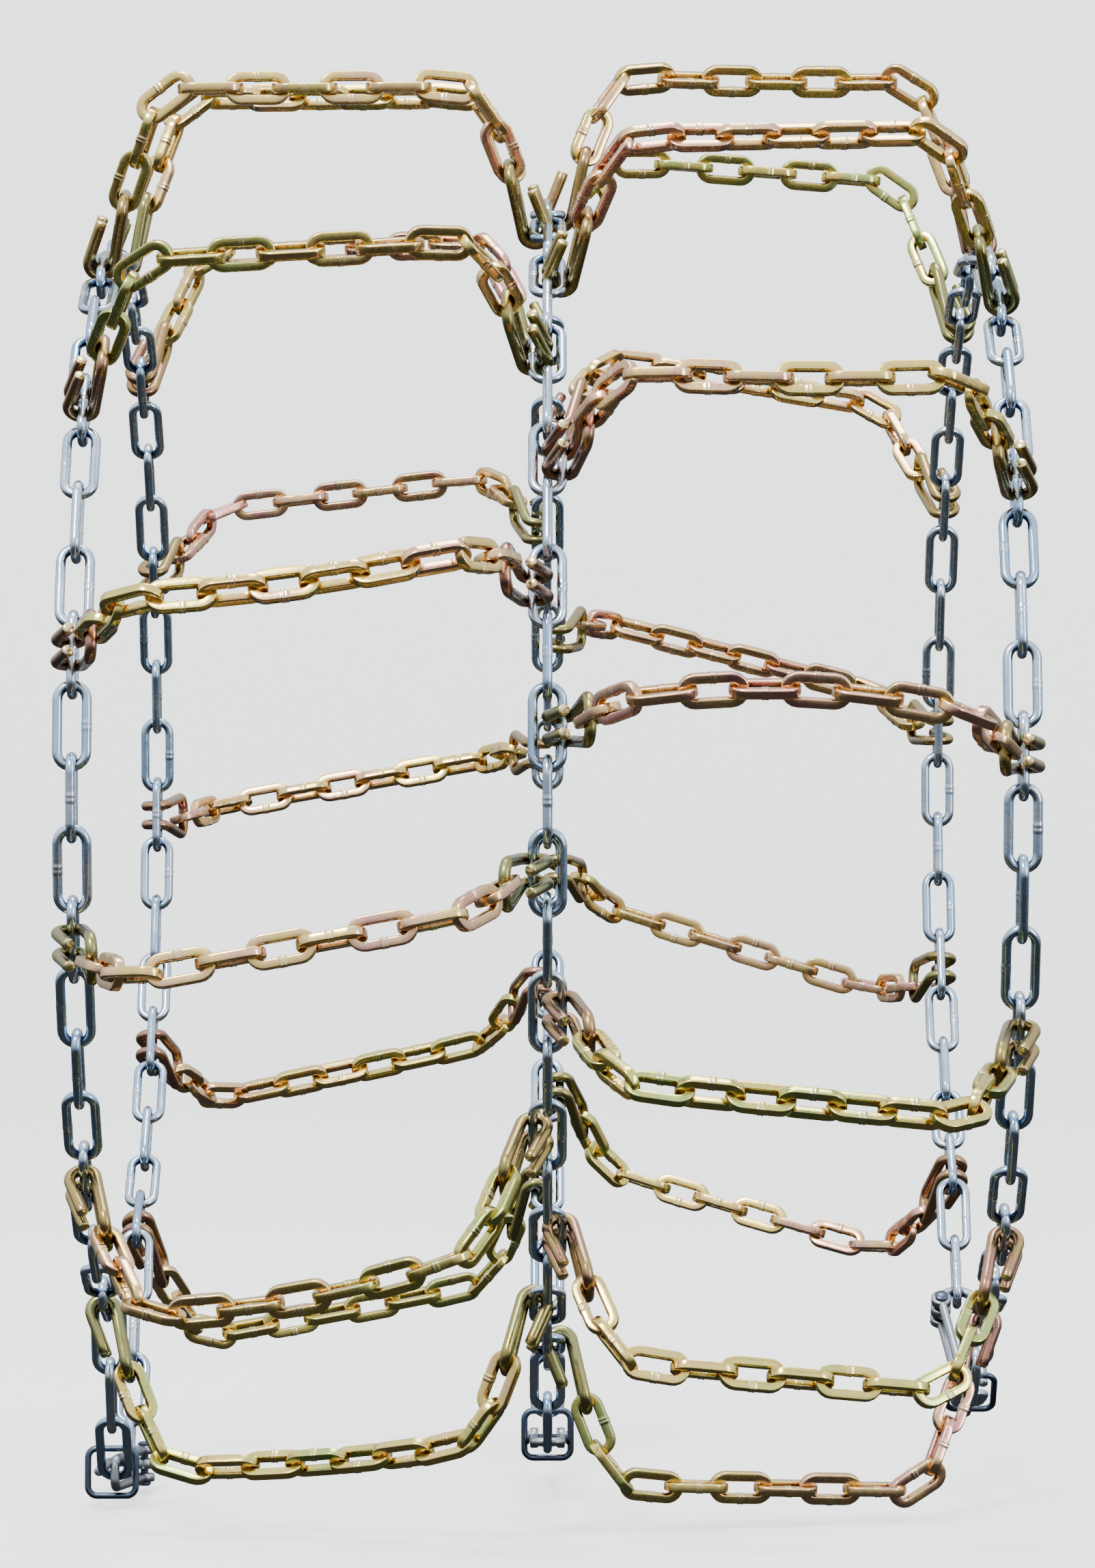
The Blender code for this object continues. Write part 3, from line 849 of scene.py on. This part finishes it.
def add_fastener(chain, away):
    """Shackle, pivot pin, lever and keeper ring."""
    last = chain.arc_links + chain.spare
    before, after = chain.spans[last - 1], chain.spans[last]
    out = (after[1] - after[0]).normalized()
    across = away.cross(after[0] - before[1]).normalized()
    seat = after[0] + out * LEVER_SEAT + across * out.dot(across) * LEVER_SIDE
    pull = (out - across * out.dot(across)).normalized()
    centre = seat - pull * LEVER_ARC
    start = before[1] - (centre - before[1]).normalized() * SHACKLE_SEAT
    place = placed(start, centre - start, across)
    pin = Vector(((centre - start).length - LEVER_ARC_AT, 0, -LEVER_ARC))
    hinge = place @ Matrix.Translation(pin)
    tilt = place @ placed(Vector(), pin, Vector((0, 1, 0)))

    def add(part, shapes, where, body, material=LEVER_GREY):
        node = f"fastener_{chain.name}_{part}"
        whole = Shape()
        for shape, at in shapes:
            whole.add(shape, where @ at, 0.5)
        piece(f"{node}_smooth", whole, material, node, body)

    lever = [(lever_rod(pin), Matrix()), (eye(EYE_HALF["lever"]), Matrix())]
    add("shackle", shackle_shapes(pin.length), tilt, "side_chains")
    add("lever", lever, hinge, f"lever_{chain.name}")
    add("pin", [(pin_shape(), Matrix())], hinge, "side_chains", DARK_STEEL)
    add("keeper", [(keeper_shape(), Matrix())], place, f"keeper_{chain.name}", DARK_STEEL)


def add_chains():
    rng = random.Random(SEED)
    hooked = 4 * (CROSS_COUNT - 1) + 1
    left = SideChain("left", -SIDE_X, SIDE_RADIUS, 0, hooked)
    right = SideChain("right", SIDE_X, SIDE_RADIUS, 0, hooked)
    middle = SideChain("middle", 0, MIDDLE_RADIUS, 1, hooked + 4)
    links = [square_link(seed) for seed in range(LINK_SHAPES)]
    hook = end_hook()
    for chain, side, first in ((left, -1, 0), (right, 1, 2)):
        for k in range(CROSS_COUNT):
            outer = chain.first_angle - 4 * k * chain.step
            inner = middle.first_angle - (4 * k + first) * middle.step
            path = CrossPath(side, outer, inner, math.radians(SLIPS[chain.name].get(k + 1, 0)))
            add_cross_chain(f"cross_chain_{chain.name}_{k + 1:02d}", path, rng, links, hook)
    for chain, away in ((left, -X_AXIS), (middle, Vector((0, 0, 1))), (right, X_AXIS)):
        add_side_chain(chain, rng)
        add_fastener(chain, away)


# ---------------------------------------------------------------- studio


def add_floor(height):
    """A pale round floor that curves up into a wall all round."""
    outline = [(0, height), (FLOOR_RADIUS, height), (FLOOR_RADIUS, height + WALL_HEIGHT)]
    corner = [Vector((x, 0, z)) for x, z in outline]
    profile = filleted(corner, [WALL_ROUND], math.radians(5))[1:]
    verts = [(0, 0, height)]
    for i in range(FLOOR_SIDES):
        turn = Matrix.Rotation(2 * math.pi * i / FLOOR_SIDES, 4, "Z")
        verts += [turn @ p for p in profile]
    count = len(profile)
    faces = []
    for i in range(FLOOR_SIDES):
        here, there = 1 + i * count, 1 + (i + 1) % FLOOR_SIDES * count
        faces.append((0, here, there))
        faces += [(here + k, here + k + 1, there + k + 1, there + k) for k in range(count - 1)]
    mesh = bpy.data.meshes.new("studio_floor")
    mesh.from_pydata(verts, [], faces)
    mesh.shade_smooth()
    made = Nodes("studio_floor_paint")
    made.shader.inputs["Base Color"].default_value = (0.80, 0.80, 0.80, 1)
    made.shader.inputs["Roughness"].default_value = 0.85
    made.shader.inputs["Emission Color"].default_value = (1, 1, 1, 1)
    made.shader.inputs["Emission Strength"].default_value = FLOOR_GLOW
    mesh.materials.append(made.material)
    floor = bpy.data.objects.new("studio_floor", mesh)
    bpy.context.scene.collection.objects.link(floor)
    floor.visible_glossy = False  # the metal mirrors the soft sky, not a white floor


def add_light(name, place, target, size, power, colour=(1, 1, 1)):
    lamp = bpy.data.lights.new(name, "AREA")
    lamp.shape = "RECTANGLE"
    lamp.size, lamp.size_y = size
    lamp.energy = power
    lamp.color = colour
    made = bpy.data.objects.new(name, lamp)
    made.location = place
    made.rotation_euler = (Vector(target) - Vector(place)).to_track_quat("-Z", "Y").to_euler()
    bpy.context.scene.collection.objects.link(made)


def add_studio():
    add_floor(CAD_BOX[0][2])
    add_light("key", (-1.3, -2.6, 2.9), (0, 0, 0), (0.9, 0.9), 150, (1.0, 0.98, 0.95))
    add_light("fill", (2.8, -2.2, 0.8), (0, 0, 0), (0.4, 2.0), 40, (0.90, 0.95, 1.0))
    add_light("top", (0.2, 0.3, 3.4), (0, 0.2, 0), (1.6, 1.6), 90)
    add_sky()


def add_sky():
    """A soft sky, bright overhead and dim below, for the metal to mirror."""
    world = bpy.data.worlds.new("studio_world")
    world.use_nodes = True
    tree = world.node_tree
    background = tree.nodes["Background"]
    background.inputs["Color"].default_value = (0.90, 0.95, 1.0, 1)
    direction = tree.nodes.new("ShaderNodeTexCoord").outputs["Generated"]
    split = tree.nodes.new("ShaderNodeSeparateXYZ")
    tree.links.new(direction, split.inputs[0])
    fade = tree.nodes.new("ShaderNodeMapRange")
    fade.interpolation_type = "SMOOTHSTEP"
    for socket, value in zip(("From Min", "From Max", "To Min", "To Max"), SKY):
        fade.inputs[socket].default_value = value
    tree.links.new(split.outputs["Z"], fade.inputs["Value"])
    tree.links.new(fade.outputs["Result"], background.inputs["Strength"])
    bpy.context.scene.world = world


def add_camera():
    lens = bpy.data.cameras.new("camera")
    lens.sensor_fit = "VERTICAL"
    lens.sensor_height = SENSOR
    lens.lens = LENS
    lens.clip_end = 50
    camera = bpy.data.objects.new("camera", lens)
    camera.location = (0, -CAMERA_AWAY, 0)
    camera.rotation_euler = (math.pi / 2, 0, 0)
    bpy.context.scene.collection.objects.link(camera)
    bpy.context.scene.camera = camera


add_camera()
add_chains()
add_studio()
